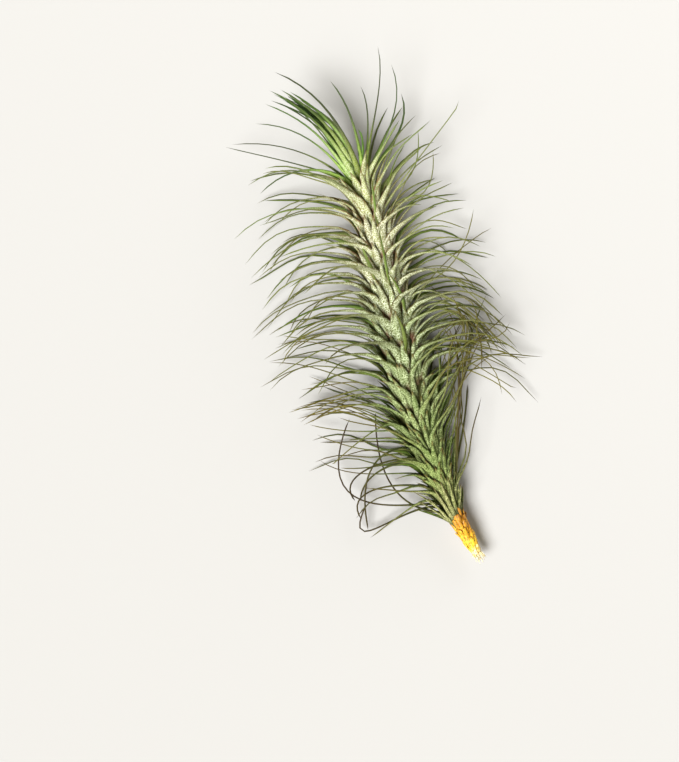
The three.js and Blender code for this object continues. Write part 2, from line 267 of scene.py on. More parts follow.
def growMature(old, young):  # each thread is kept clear of the threads before it
    crownThreads = np.concatenate([threadOf(leaf["path"]) for leaf in young])
    placed = np.concatenate([threadOf(leaf["path"]) for leaf in old])
    draws = SeededDraws(matureLeaf["seed"])
    varies = matureLeaf["varies"]
    grown = []
    for i in range(matureLeaf["count"]):
        rootY = rootPlace(i)
        worn = 0.5 + 0.5 * draws.next() < along(matureLeaf["wornShare"], rootY)
        best = None
        for _ in range(matureLeaf["redraws"]):
            azimuth = i * plant["goldenAngle"] + varies["azimuth"] * draws.next()
            tipAngle = tipAngleAt(rootY, azimuth) + varies["tipAngle"] * draws.next()
            swing = drawSwing(matureLeaf["swing"], azimuth, draws)
            length = lengthAt(rootY, azimuth) + varies["length"] * draws.next()
            left = matureLeaf["wornLength"] + varies["wornLength"] * draws.next() if worn else length
            lean = along(matureLeaf["flare"], rootY) * abs(math.sin(math.radians(azimuth)))
            sag = draws.near(*matureLeaf["sag"])
            wave = along(matureLeaf["waver"], rootY) + varies["wave"] * draws.next()
            phase = math.pi * draws.next()
            splay = matureLeaf["splay"]
            path = leafPath(rootY, azimuth, length, left, tipAngle, lean, splay, swing, sag, wave, phase)
            room = math.inf
            if not worn:
                thread = threadOf(path)
                room = min(nearest(thread, placed), nearest(thread, crownThreads) - matureLeaf["crownGap"])
            if best is None or room > best["room"]:
                best = {"rootY": rootY, "azimuth": azimuth, "path": path, "worn": worn, "room": room}
            if room > matureLeaf["threadGap"]:
                break
        if not worn:
            placed = np.concatenate([placed, threadOf(best["path"])])
        grown.append(best)
    return grown


# Short leaves fill the stem between the long ones: as many as them near the foot, one to every third of them
# further up, and a close row of them along the upper side, where the long ones part to the left and right
shortLeaf = {
    "seed": 3307,
    "crowdedTo": 36,
    "length": [(12, 8), (30, 9.5), (60, 12), (92, 14)],
    "whole": 30,  # length of the leaf that its bend is worked out for
    "bent": 0.8,  # share of a mature leaf's tip angle, and of its flare
    "flared": 0.6,
    "splay": 0.1,
    "swing": 12,
    "sag": 0.1,
    "wave": 4,
    "varies": {"azimuth": 9, "length": 0.22, "swing": 18, "tipAngle": 14},
}
upperLeaf = {
    "count": 58,
    "from": 12.5,
    "to": 91.5,
    "spread": 50,  # degrees either side of straight up
    "length": [(12, 7.5), (30, 9), (60, 10.5), (92, 12)],
    "tipAngle": [(12, 34), (40, 52), (92, 56)],
    "wave": 3,
    "varies": {"azimuth": 5, "length": 0.2, "swing": 25, "tipAngle": 12},
}

# A few leaves on the upper side turn over as they run up the stem, and show their green channel
turnedLeaf = [
    (61, 8, 9, (0.2, 76, 14.4), (1.3, 87.5, 16)),
    (67, 335, 6, (-3.8, 77, 13.2), (-4.6, 84.5, 13.6)),
    (57.5, 35, 6, (2.6, 66, 12.6), (-0.4, 73.5, 14.2)),
    (48, 5, 6, (0.3, 56.5, 13.2), (-1.8, 64.5, 14.8)),
    (36, 66, 6, (6.4, 45, 10.5), (5.2, 53, 11.5)),
    (78, 20, 6, (1.2, 88, 14.4), (3.4, 97, 16)),
]


def growShort():
    draws = SeededDraws(shortLeaf["seed"])
    whole = shortLeaf["whole"]
    varies = shortLeaf["varies"]
    grown = []
    for i in range(matureLeaf["count"]):
        rootY = rootPlace(i + 0.5)
        if i % 3 > 0 and rootY > shortLeaf["crowdedTo"]:
            continue
        azimuth = (i + 0.5) * plant["goldenAngle"] + varies["azimuth"] * draws.next()
        high = math.cos(math.radians(azimuth))
        across = math.sin(math.radians(azimuth))
        left = along(shortLeaf["length"], rootY) * (1 + varies["length"] * draws.next())
        swing = varies["swing"] * draws.next() + shortLeaf["swing"] * math.copysign(1, across) * high
        tipAngle = tipAngleAt(rootY, azimuth) * shortLeaf["bent"] + varies["tipAngle"] * draws.next()
        lean = shortLeaf["flared"] * along(matureLeaf["flare"], rootY) * abs(across)
        phase = math.pi * draws.next()
        path = leafPath(rootY, azimuth, whole, left, tipAngle, lean, shortLeaf["splay"], swing,
                        shortLeaf["sag"], shortLeaf["wave"], phase)
        grown.append({"rootY": rootY, "azimuth": azimuth, "path": path, "worn": True})
    varies = upperLeaf["varies"]
    for i in range(upperLeaf["count"]):
        rootY = spaced(upperLeaf, i)
        aside = ((i * plant["goldenAngle"]) % 360) / 180 - 1
        azimuth = upperLeaf["spread"] * aside + varies["azimuth"] * draws.next()
        left = along(upperLeaf["length"], rootY) * (1 + varies["length"] * draws.next())
        tipAngle = along(upperLeaf["tipAngle"], rootY) + varies["tipAngle"] * draws.next()
        swing = varies["swing"] * draws.next()
        path = leafPath(rootY, azimuth, whole, left, tipAngle, 0, 0, swing, 0, upperLeaf["wave"], 0)
        grown.append({"rootY": rootY, "azimuth": azimuth, "path": path, "worn": True})
    return grown


# Fine threads of leaves rooted deeper down: some cross the others on both sides, some draw together in a
# brush on the left, and on the right some curl back over, some hang down the stem and some drape across it
crossingLeaf = {
    "count": 38,
    "seed": 9127,
    "from": 32,
    "to": 90,
    "spread": 50,  # degrees either side of level
    "astray": 28,
    "swing": (34, 40, 12),
    "lengthShare": 0.92,
    "lengthVaries": 4,
    "splay": 0.2,
    "sag": 0.3,
    "wave": (11, 6),
}
bunched = {"reach": 8, "tipSpread": 1.3, "goldenShare": 0.618}
brushLeaf = {"count": 15, "seed": 5501, "from": 27, "to": 43, "azimuths": (238, 318),
             "near": (-19, 47.6, 6), "tip": (-31.5, 46.6, 4), "spread": (2.6, 2.2, 3)}
curledLeaf = {"count": 6, "seed": 7103, "from": 15, "to": 33, "azimuths": (66, 118),
              "near": (20, 49, 7), "tip": (11.5, 60, 8), "spread": (4, 7, 4)}
hangingLeaf = {"count": 9, "seed": 6311, "from": 46, "to": 58, "azimuths": (50, 116),
               "near": (22.5, 65.5, 9), "tip": (10.5, 46.5, 4), "spread": (3.6, 3, 4)}
drapedLeaf = {"count": 6, "seed": 8209, "from": 57, "to": 63, "azimuths": (64, 100),
              "near": (13.5, 69, 9), "tip": (21.6, 46.6, 5), "spread": (1, 1, 2)}
strayLeaf = [
    (50.5, 92, 11, (23.4, 32.2, 5), (21.7, 36.5, 3)),
    (52.5, 86, 9, (28.2, 40.6, 7), (24.2, 43.4, 4)),
    (51.5, 70, 9, (19.2, 44.3, 9), (24.6, 52.5, 9)),
    (70, 80, 4, (12.5, 76.8, 10), (23.5, 50.6, 6)),
    (74.5, 84, 4, (16.2, 80.2, 10), (24.6, 58.7, 8)),
    (12.4, 88, 9, (6, 32, 6), (11.6, 50, 7)),
    (13.8, 102, 9, (7.6, 34, 4), (7, 53, 5)),
    (26.2, 272, 4, (-15.8, 27, 6), (-26.1, 31.4, 6)),
    (22.6, 266, 4, (-23.5, 25.7, 5), (-30.4, 34.7, 3)),
    (29.5, 268, 5, (-13.4, 27.3, 6), (-28.9, 40.9, 5)),
    (33.5, 262, 4, (-16.6, 35.6, 5), (-30, 43.8, 3)),
    (31, 255, 4, (-25.3, 37.8, 3), (-21.9, 37.1, 3)),
    (35.5, 288, 8, (-31.4, 30.4, 11), (-27.6, 33, 8)),
    (86, 62, 5, (34, 108.6, 13), (29.1, 107.3, 14)),
    (85, 75, 12, (13.8, 87.6, 11), (17.7, 104, 10)),
    (84, 92, 11.6, (15.5, 80.6, 7), (19.7, 98.2, 9)),
    (83, 84, 12, (16.7, 88, 9), (20.8, 85, 5)),
    (62, 78, 11.7, (14.5, 62, 9), (24.5, 81.4, 12)),
    (60, 70, 12, (29.8, 76.9, 11), (27.3, 75.6, 11)),
]


def growThreads():
    grown = []
    draws = SeededDraws(crossingLeaf["seed"])
    for i in range(crossingLeaf["count"]):
        rootY = spaced(crossingLeaf, i)
        azimuth = (90 if i % 2 else 270) + crossingLeaf["spread"] * draws.next()
        tipAngle = tipAngleAt(rootY, azimuth) + crossingLeaf["astray"] * draws.next()
        swing = drawSwing(crossingLeaf["swing"], azimuth, draws)
        whole = crossingLeaf["lengthShare"] * lengthAt(rootY, azimuth)
        length = whole + crossingLeaf["lengthVaries"] * draws.next()
        wave = draws.near(*crossingLeaf["wave"])
        phase = math.pi * draws.next()
        path = leafPath(rootY, azimuth, length, length, tipAngle, 0, crossingLeaf["splay"], swing,
                        crossingLeaf["sag"], wave, phase)
        grown.append({"rootY": rootY, "azimuth": azimuth, "path": path, "worn": False})
    bunches = []
    for bunch in (brushLeaf, curledLeaf, hangingLeaf, drapedLeaf):
        draws = SeededDraws(bunch["seed"])
        first, last = bunch["azimuths"]
        for i in range(bunch["count"]):
            near = [v + d * draws.next() for v, d in zip(bunch["near"], bunch["spread"])]
            tip = [v + bunched["tipSpread"] * d * draws.next() for v, d in zip(bunch["tip"], bunch["spread"])]
            azimuth = first + (last - first) * ((i * bunched["goldenShare"]) % 1)
            bunches.append((spaced(bunch, i) + draws.next(), azimuth, bunched["reach"], near, tip))
    return grown + growLed(bunches + strayLeaf, matureLeaf["sink"], plant["coreRadius"], False)


# Fine leaves between those of the crown's bunch, each one led to a place between two of them
fineLeaf = {
    "count": 12,
    "seed": 4211,
    "from": 96,
    "to": 100.4,
    "sink": 0.4,
    "reach": 9,
    "partner": 3,  # places further on in the bunch
    "share": (0.5, 0.25),  # of the way from the one to the other, and how far that varies
    "shortened": (0.9, 0.1),
    "spread": 0.4,
}


def growFine(young):
    draws = SeededDraws(fineLeaf["seed"])
    spread = fineLeaf["spread"]
    leaves = []
    for i in range(fineLeaf["count"]):
        one = young[i % crown["bunch"]]
        other = young[(i + fineLeaf["partner"]) % crown["bunch"]]
        share = draws.near(*fineLeaf["share"])
        short = draws.near(*fineLeaf["shortened"])
        near = [a + (b - a) * share + spread * draws.next() for a, b in zip(one["near"], other["near"])]
        tip = [a + (b - a) * share + spread * draws.next() for a, b in zip(one["tip"], other["tip"])]
        tip = [n + (t - n) * short for n, t in zip(near, tip)]
        leaves.append((spaced(fineLeaf, i), i * plant["goldenAngle"], fineLeaf["reach"], near, tip))
    return growLed(leaves, fineLeaf["sink"], plant["crownRadius"], False)


# The last green leaf bases run down over the upper left of the foot, and two stubs stand on it
lowSink = 0.5
lowLeaf = [
    (8.2, 300, 4, (-6, 14.6, 8.4), (-8.2, 18.6, 8.4)),
    (8.6, 276, 4, (-6.8, 14.2, 6.2), (-10.4, 17.8, 6)),
    (9.2, 325, 4, (-4.6, 15.8, 8.8), (-6, 20.6, 9.6)),
    (8.8, 255, 3, (-7.2, 13.2, 4.6), (-12.2, 16.2, 4.2)),
    (10.2, 350, 4, (-3.4, 16.4, 9), (-3.8, 21.4, 9.8)),
    (10, 292, 4, (-6.6, 16.2, 7.4), (-11, 20.6, 7.4)),
    (11.2, 20, 4, (-2, 16.8, 8.8), (-1.6, 22, 9.6)),
    (10.8, 70, 4, (-0.2, 16, 6.4), (0.6, 21, 7)),
]
stubLeaf = [
    (11.4, 46, 2.5, (-0.2, 15.4, 8.2), (1, 18.8, 8.8)),
    (10.6, 96, 2.5, (0.5, 14.6, 4.6), (1.4, 18, 4.6)),
]


# Blades: width and thickness in mm by the distance from the leaf's root, and a share of the width by where on
# the stem it is rooted
matureBlade = {
    "sides": 6,
    "rows": 13,
    "width": [(0, 1.9), (3, 2.6), (6.5, 2.6), (9, 1.95), (11, 1.4), (15, 0.76), (22, 0.52), (32, 0.38),
              (44, 0.22)],
    "thickness": [(0, 0.6), (5, 0.95), (8, 0.85), (13, 0.55), (22, 0.42), (44, 0.24)],
    "breadth": [(12, 0.58), (28, 0.66), (40, 0.86), (52, 1), (91, 0.95)],
    "claspRadius": 2.6,  # of the stem that the base bends round
    "roll": 20,  # degrees, at most
}
turnedBlade = dict(matureBlade, width=[(0, 1.9), (3, 2.3), (7, 1.7), (12, 1.05), (22, 0.5), (44, 0.22)])
oldBlade = dict(
    matureBlade,
    rows=26,
    roll=0,
    width=[(0, 1.9), (3, 2.4), (8, 1.4), (12, 0.9), (30, 0.7), (60, 0.5)],
    thickness=[(0, 0.6), (5, 0.8), (14, 0.6), (60, 0.42)],
)
threadBlade = dict(
    matureBlade,
    sides=5,
    rows=15,
    width=[(0, 1.6), (5, 1.9), (8, 1.3), (11, 0.8), (15, 0.55), (30, 0.4), (60, 0.24)],
    thickness=[(0, 0.5), (5, 0.6), (11, 0.45), (20, 0.34), (60, 0.22)],
)
youngBlade = {
    "sides": 6,
    "rows": 14,
    "width": [(0, 1.5), (4, 2.1), (8, 1.7), (12, 1.15), (17, 0.76), (24, 0.5), (44, 0.26)],
    "thickness": [(0, 0.7), (8, 0.7), (14, 0.5), (24, 0.38), (44, 0.22)],
    "breadth": [(94, 1)],
    "claspRadius": 1.8,
    "roll": 8,
}
fineBlade = dict(youngBlade, width=[(0, 0.9), (6, 1), (12, 0.62), (20, 0.4), (44, 0.22)])
lowBlade = dict(matureBlade, width=[(0, 1.9), (3, 2.3), (7, 1.7), (12, 0.8), (44, 0.4)], rows=10, roll=10)
bending = {
    "rings": 1.35,  # above 1, rings lie closer where the base bends out
    "breadthVaries": 0.1,
    "wornPoint": 4,  # the higher, the blunter a worn end
    "innerShare": 0.4,  # of the thickness lies on the inner face
    "claspLevel": 0.35,
    "turning": (0.12, 0.5),  # share of its length along which a turned leaf turns over
    "dryEnd": 0.8,  # a whole leaf's end is less dry than a worn one's
}


def newObject(name, data):
    made = bpy.data.objects.new(name, data)
    bpy.context.scene.collection.objects.link(made)
    return made


def newPiece(name, bm):
    mesh = bpy.data.meshes.new(name)
    bm.to_mesh(mesh)
    bm.free()
    mesh.shade_smooth()
    return newObject(name, mesh)


def nextRing(bm, ring):
    made = bmesh.ops.extrude_edge_only(bm, edges=ring)["geom"]
    verts = [g for g in made if isinstance(g, bmesh.types.BMVert)]
    return verts, [g for g in made if isinstance(g, bmesh.types.BMEdge) and all(v in verts for v in g.verts)]


def bladeTemplate(sides, rows):  # one closed blade: rings from root to tip, which each leaf bends to its path
    bm = bmesh.new()
    bmesh.ops.create_circle(bm, segments=sides, radius=1, cap_ends=True)
    ring = bm.edges[:]
    for _ in range(rows - 1):
        verts, ring = nextRing(bm, ring)
        bmesh.ops.translate(bm, verts=verts, vec=(0, 0, 1))
    bmesh.ops.pointmerge(bm, verts=nextRing(bm, ring)[0], merge_co=(0, 0, rows))
    bmesh.ops.recalc_face_normals(bm, faces=bm.faces)
    bmesh.ops.reverse_faces(bm, faces=bm.faces)  # a bent blade is mirrored, which turns its faces out again
    template = bpy.data.meshes.new("bladeTemplate")
    bm.to_mesh(template)
    bm.free()
    return template


def ringsAlong(leaf, rows):  # distance from the root, middle, side and outer directions of each ring
    path = leaf["path"]
    lengths = np.concatenate([[0], np.cumsum(np.linalg.norm(np.diff(path, axis=0), axis=1))])
    side = np.cross(stemFrame(leaf["rootY"])[0], outward(leaf["rootY"], leaf["azimuth"]))
    sides, outs = [], []
    for i in range(len(path)):
        ahead = unit(path[min(i + 1, len(path) - 1)] - path[max(i - 1, 0)])
        side = unit(side - ahead * float(side @ ahead))
        sides.append(side)
        outs.append(np.cross(side, ahead))
    at = (np.arange(rows + 1) / rows) ** bending["rings"] * lengths[-1]
    tracks = [np.stack([np.interp(at, lengths, np.array(track)[:, k]) for k in range(3)], axis=1)
              for track in (path, sides, outs)]
    return [at] + tracks


def bendBlades(name, leaves, blade, seed):
    template = bladeTemplate(blade["sides"], blade["rows"])
    flat = np.zeros(len(template.vertices) * 3)
    template.vertices.foreach_get("co", flat)
    flat = flat.reshape(-1, 3)
    row = np.rint(flat[:, 2]).astype(int)
    x, z = flat[:, 0], flat[:, 1]
    draws = SeededDraws(seed)
    bm = bmesh.new()
    places, leafMarks, stemMarks = [], [], []
    for leaf in leaves:
        bm.from_mesh(template)
        at, middle, across, out = ringsAlong(leaf, blade["rows"])
        share = at / at[-1]
        turned = leaf.get("turn", 0) * np.array([ease(s, *bending["turning"]) for s in share])
        roll = np.radians(blade["roll"] * draws.next() + turned)[:, None]
        across, out = across * np.cos(roll) + out * np.sin(roll), out * np.cos(roll) - across * np.sin(roll)
        broad = along(blade["breadth"], leaf["rootY"]) * (1 + bending["breadthVaries"] * draws.next())
        point = 1 - share ** bending["wornPoint"] if leaf["worn"] else 1
        width = np.interp(at, *zip(*blade["width"])) * broad * point
        thick = np.interp(at, *zip(*blade["thickness"])) * point
        clasp = width ** 2 / (8 * blade["claspRadius"])  # how far the edges turn in round the stem
        halfX = (width / 2)[row] * x
        level = x ** 2 - bending["claspLevel"]
        halfZ = (thick / 2)[row] * np.where(z > 0, z, bending["innerShare"] * z) - clasp[row] * level
        places.append(middle[row] + across[row] * halfX[:, None] + out[row] * halfZ[:, None])
        chance = np.full(len(row), 0.5 + 0.5 * draws.next())
        end = share[row] * (1 if leaf["worn"] else bending["dryEnd"])
        rooted = np.full(len(row), leaf["rootY"] / plant["length"])
        leafMarks.append(np.stack([at[row] / plant["longestLeaf"], 0.5 + 0.5 * z, end], axis=1))
        stemMarks.append(np.stack([rooted, 0.5 + 0.5 * x, chance], axis=1))
    bpy.data.meshes.remove(template)
    piece = newPiece(name, bm)
    mesh = piece.data
    at = np.concatenate(places)
    at[:, 0] -= plant["origin"][0]
    at[:, 1] -= plant["origin"][1]
    at[:, 2] = np.maximum(at[:, 2], plant["pressedTo"])
    mesh.vertices.foreach_set("co", (at * mm).ravel())
    for key, values in (("leafPlace", leafMarks), ("stemPlace", stemMarks)):
        attribute = mesh.attributes.new(key, "FLOAT_VECTOR", "POINT")
        attribute.data.foreach_set("vector", np.concatenate(values).ravel())
    return piece


def hexColour(code):
    parts = [int(code[i:i + 2], 16) / 255 for i in (1, 3, 5)]
    return [c / 12.92 if c <= 0.04045 else ((c + 0.055) / 1.055) ** 2.4 for c in parts] + [1.0]


def addNode(tree, kind, settings=None, links=None):  # a node linked to stands for its first output
    node = tree.nodes.new("ShaderNode" + kind)
    for name, value in (settings or {}).items():
        if name == "stops":
            elements = node.color_ramp.elements
            while len(elements) < len(value):
                elements.new(1)
            for element, (at, colour) in zip(elements, value):
                element.position = at
                element.color = hexColour(colour)
        elif isinstance(name, int) or name in node.inputs:
            node.inputs[name].default_value = value
        else:
            setattr(node, name, value)
    for name, source in (links or {}).items():
        socket = source.outputs[0] if isinstance(source, bpy.types.Node) else source
        tree.links.new(socket, node.inputs[name])
    return node


def newMaterial(name):
    material = bpy.data.materials.new(name)
    material.use_nodes = True
    material.node_tree.nodes.clear()
    return material, material.node_tree


# Leaf of an air plant: green tissue under a coat of scurf, which is silvery water-catching scales, close on
# the outer face of the base, and thinner on the inner face and along the thread. Along the base's edges it
# gives way to a dark bare margin, which is also painted shade of the gaps between the bases.
# Real scales are about 0.25 mm wide, and are drawn at 0.46 mm so that they show. Colours are by where on the
# stem a leaf is rooted, save "inner" and "cover", which are by the distance from its root.
scurfyLeaf = {
    "tissue": [(0.1, "#4a4e10"), (0.2, "#324206"), (0.5, "#4c5c14"), (0.8, "#7a7c40"), (1, "#909c44")],
    "thread": [(0, "#3e300c"), (0.25, "#4c3e10"), (0.42, "#545012"), (0.7, "#5a5e1a"), (1, "#586a26")],
    "inner": [(0, "#728e2e"), (0.3, "#627a28"), (0.45, "#46581c")],
    "scurf": [(0.1, "#b6b67e"), (0.18, "#98a862"), (0.35, "#a2b078"), (0.55, "#bcc6a2"), (0.75, "#d3d2bb"),
              (0.95, "#d5d8b6")],
    "edgeAndGapShade": [(0.3, "#222a04"), (0.6, "#4e4420"), (0.9, "#765438")],
    # edge colour by where the leaf is rooted: a bare margin, darkened as painted shade of the gaps between
    # the bases
    "sheathAndRootShade": [(0.35, "#2e3410"), (0.6, "#865444"), (0.95, "#a87464")],
    # sheath at each leaf's root: red-brown up the stem, dark low on the stem as painted shade of the deep
    # gaps
    "dry": "#5e4a1c",
    "cover": [(0, "#ffffff"), (0.24, "#f0f0f0"), (0.36, "#a8a8a8"), (0.6, "#5c5c5c"), (1, "#303030")],
    "threadZone": {"From Min": 0.16, "From Max": 0.4},  # where the base's green gives way to the thread's
    "channel": {"From Min": 0.5, "From Max": 0.15, "To Max": 0.75},
    "hues": {"To Min": 0.48, "To Max": 0.515},  # each leaf's own lies between
    "values": {"To Min": 0.7, "To Max": 1.25},
    "scaleSize": 0.46,  # mm
    "scaleScatter": 0.75,
    "bladeWidth": 2.6,  # mm, across which the scales are laid out
    "apart": 90,  # mm over which the leaves' own spots in the pattern are spread
    "dots": {"From Min": 0.3, "From Max": 0.4},  # how far from a scale's middle the green shows
    "dotCover": {"To Min": 0.02},
    "patchSize": 1.3,  # mm
    "patches": {"From Min": 0.35, "From Max": 0.62, "To Min": 0.45},
    "outerFace": {"From Min": 0.35, "From Max": 0.85, "To Min": 0.16},
    # where the dark edge, bare margin and painted shade, lies: near the sides, low on the leaf, broken up by
    # clouds
    "edgeAcross": {"From Min": 0.2, "From Max": 0.07},
    "edgeAlong": {"From Min": 0.34, "From Max": 0.18},
    "edgeBreaks": {"From Min": 0.42, "From Max": 0.6, "To Min": 0.95, "To Max": 0.3},
    # the sheath colour and its painted shade lie over the first 1.5 to 3.3 mm of each leaf
    "sheathAndShadeAlong": {"From Min": 0.075, "From Max": 0.035, "To Max": 0.85},
    "dryAlong": {"From Min": 0.8, "From Max": 0.97},
    "relief": {"Strength": 0.5, "Distance": 0.06 * mm},
    "sheen": {"Roughness": 0.58, "Specular IOR Level": 0.22},
}


def makeScurfyLeaf(name, look):
    material, tree = newMaterial(name)
    leafPlace = addNode(tree, "Attribute", {"attribute_name": "leafPlace"})
    stemPlace = addNode(tree, "Attribute", {"attribute_name": "stemPlace"})
    onLeaf = addNode(tree, "SeparateXYZ", {}, {0: leafPlace.outputs["Vector"]})
    onStem = addNode(tree, "SeparateXYZ", {}, {0: stemPlace.outputs["Vector"]})
    alongLeaf, outOfLeaf, toEnd = onLeaf.outputs
    rooted, acrossLeaf, chance = onStem.outputs
    onPlant = addNode(tree, "TexCoord").outputs["Object"]

    # Tissue: by the leaf's place on the stem, brighter inside the channel, each leaf a little different
    tissue = addNode(tree, "ValToRGB", {"stops": look["tissue"]}, {0: rooted})
    thread = addNode(tree, "ValToRGB", {"stops": look["thread"]}, {0: rooted})
    outAlong = addNode(tree, "MapRange", look["threadZone"], {0: alongLeaf})
    green = addNode(tree, "Mix", {"data_type": "RGBA"}, {0: outAlong, 6: tissue, 7: thread})
    inside = addNode(tree, "MapRange", look["channel"], {0: outOfLeaf})
    inner = addNode(tree, "ValToRGB", {"stops": look["inner"]}, {0: alongLeaf})
    channel = addNode(tree, "Mix", {"data_type": "RGBA"}, {0: inside, 6: green.outputs[2], 7: inner})
    hue = addNode(tree, "MapRange", look["hues"], {0: chance})
    value = addNode(tree, "MapRange", look["values"], {0: chance})
    varied = addNode(tree, "HueSaturation", {}, {"Color": channel.outputs[2], "Hue": hue, "Value": value})

    # Scurf: a close coat on the outer face of the base, with green showing as dots between the scales
    spans = ((alongLeaf, plant["longestLeaf"]), (acrossLeaf, look["bladeWidth"]), (chance, look["apart"]))
    lengthwise, crosswise, apart = [addNode(tree, "Math", {"operation": "MULTIPLY", 1: span}, {0: share})
                                    for share, span in spans]
    ownSpot = addNode(tree, "Math", {"operation": "ADD"}, {0: crosswise, 1: apart})
    onBlade = addNode(tree, "CombineXYZ", {}, {0: lengthwise, 1: ownSpot})
    scales = addNode(tree, "TexVoronoi", {"voronoi_dimensions": "2D", "Scale": 1 / look["scaleSize"],
                                          "Randomness": look["scaleScatter"]}, {"Vector": onBlade})
    dots = addNode(tree, "MapRange", look["dots"], {0: scales.outputs["Distance"]})
    cloud = addNode(tree, "TexNoise", {"Scale": 1 / (look["patchSize"] * mm), "Detail": 3},
                    {"Vector": onPlant})
    patch = addNode(tree, "MapRange", look["patches"], {0: cloud})
    cover = addNode(tree, "ValToRGB", {"stops": look["cover"]}, {0: alongLeaf})
    outer = addNode(tree, "MapRange", look["outerFace"], {0: outOfLeaf})
    coat = addNode(tree, "MapRange", look["dotCover"], {0: dots})
    for other in (patch, outer, cover):
        coat = addNode(tree, "Math", {"operation": "MULTIPLY"}, {0: coat, 1: other})
    silver = addNode(tree, "ValToRGB", {"stops": look["scurf"]}, {0: rooted})
    coated = addNode(tree, "Mix", {"data_type": "RGBA"}, {0: coat, 6: varied, 7: silver})

    # Dark edges, partly the bare margin and partly painted shade of the gaps between the bases; a sheath low
    # down, red-brown up the stem and dark on the lower leaves as painted shade; and a dry end
    aside = addNode(tree, "Math", {"operation": "PINGPONG", 1: 0.5}, {0: acrossLeaf})
    edgeShadeMask = addNode(tree, "MapRange", look["edgeAcross"], {0: aside})
    atBase = addNode(tree, "MapRange", look["edgeAlong"], {0: alongLeaf})
    broken = addNode(tree, "MapRange", look["edgeBreaks"], {0: cloud})
    for other in (atBase, broken):
        edgeShadeMask = addNode(tree, "Math", {"operation": "MULTIPLY"}, {0: edgeShadeMask, 1: other})
    edgeAndGapShade = addNode(tree, "ValToRGB", {"stops": look["edgeAndGapShade"]}, {0: rooted})
    edgedAndShaded = addNode(tree, "Mix", {"data_type": "RGBA"}, {0: edgeShadeMask, 6: coated.outputs[2], 7: edgeAndGapShade})
    # at the root: sheath colour, dark on the lower leaves as painted shade
    low = addNode(tree, "MapRange", look["sheathAndShadeAlong"], {0: alongLeaf})
    sheathAndRootShade = addNode(tree, "ValToRGB", {"stops": look["sheathAndRootShade"]}, {0: rooted})
    sheathedAndShaded = addNode(tree, "Mix", {"data_type": "RGBA"}, {0: low, 6: edgedAndShaded.outputs[2], 7: sheathAndRootShade})
    dryEnd = addNode(tree, "MapRange", look["dryAlong"], {0: toEnd})
    finished = addNode(tree, "Mix", {"data_type": "RGBA", 7: hexColour(look["dry"])},
                       {0: dryEnd, 6: sheathedAndShaded.outputs[2]})
    bump = addNode(tree, "Bump", look["relief"], {"Height": dots})
    shader = addNode(tree, "BsdfPrincipled", look["sheen"],
                     {"Base Color": finished.outputs[2], "Normal": bump})
    addNode(tree, "OutputMaterial", {}, {0: shader})
    return material


def evenly(colour):
    return [(0, colour), (1, colour)]


threadLook = dict(
    scurfyLeaf,
    thread=[(0, "#4a360c"), (0.3, "#584a12"), (0.5, "#625a16"), (0.8, "#62641e"), (1, "#5c6c24")],
    cover=[(0, "#f0f0f0"), (0.2, "#c8c8c8"), (0.34, "#7c7c7c"), (0.6, "#424242"), (1, "#242424")],
)
youngLook = dict(
    scurfyLeaf,
    tissue=evenly("#7c9828"),
    thread=evenly("#3e4a26"),
    inner=[(0, "#5e7c20"), (0.2, "#48621e"), (0.4, "#36461f")],
    # dark green edges: painted shade between the young leaves
    edgeAndGapShade=evenly("#1c3206"),
    sheathAndRootShade=evenly("#a8a05c"),
    dry="#5a5a2c",
    cover=[(0, "#b0b0b0"), (0.2, "#808080"), (0.4, "#484848"), (0.7, "#202020"), (1, "#141414")],
    sheen={"Roughness": 0.5, "Specular IOR Level": 0.22},
)
bunchLook = dict(
    youngLook,
    tissue=evenly("#7e983a"),
    thread=evenly("#40561a"),
    inner=[(0, "#5c7c18"), (0.2, "#33580e"), (0.6, "#24420c")],
    cover=[(0, "#e8e8e8"), (0.16, "#b0b0b0"), (0.4, "#585858"), (0.7, "#282828"), (1, "#141414")],
    threadZone={"From Min": 0.16, "From Max": 0.46},
)
fineLook = dict(
    bunchLook,
    tissue=evenly("#5a7a24"),
    thread=evenly("#2c4210"),
    cover=[(0, "#808080"), (0.2, "#484848"), (0.4, "#242424"), (1, "#101010")],
)
oldLook = dict(
    scurfyLeaf,
    tissue=[(0, "#4a4410"), (1, "#434e16")],
    thread=[(0, "#3a2a0a"), (1, "#34320e")],
    inner=[(0, "#4a5216"), (1, "#2c2c10")],
    cover=[(0, "#a0a0a0"), (0.2, "#606060"), (0.45, "#383838"), (0.7, "#202020"), (1, "#141414")],
)

young = growLed(youngLeaf, crown["sink"], plant["crownRadius"], False)
old = growLed(oldLeaf, matureLeaf["sink"], plant["coreRadius"], False)
mature = growMature(old, young)
short = growShort()
threads = growThreads()
bunch, single = young[:crown["bunch"]], young[crown["bunch"]:]
fine = growFine(young) + [single.pop(crown["short"] - crown["bunch"])]
low = growLed(lowLeaf, lowSink, plant["coreRadius"], True)
stubs = growLed(stubLeaf, lowSink, plant["coreRadius"], True)
turned = growLed(turnedLeaf, matureLeaf["sink"], plant["coreRadius"], True)
turned = [dict(leaf, turn=180) for leaf in turned]
print("leaves grown:", len(mature), "mature,", len(short), "short,", len(old), "old,", len(young), "young")

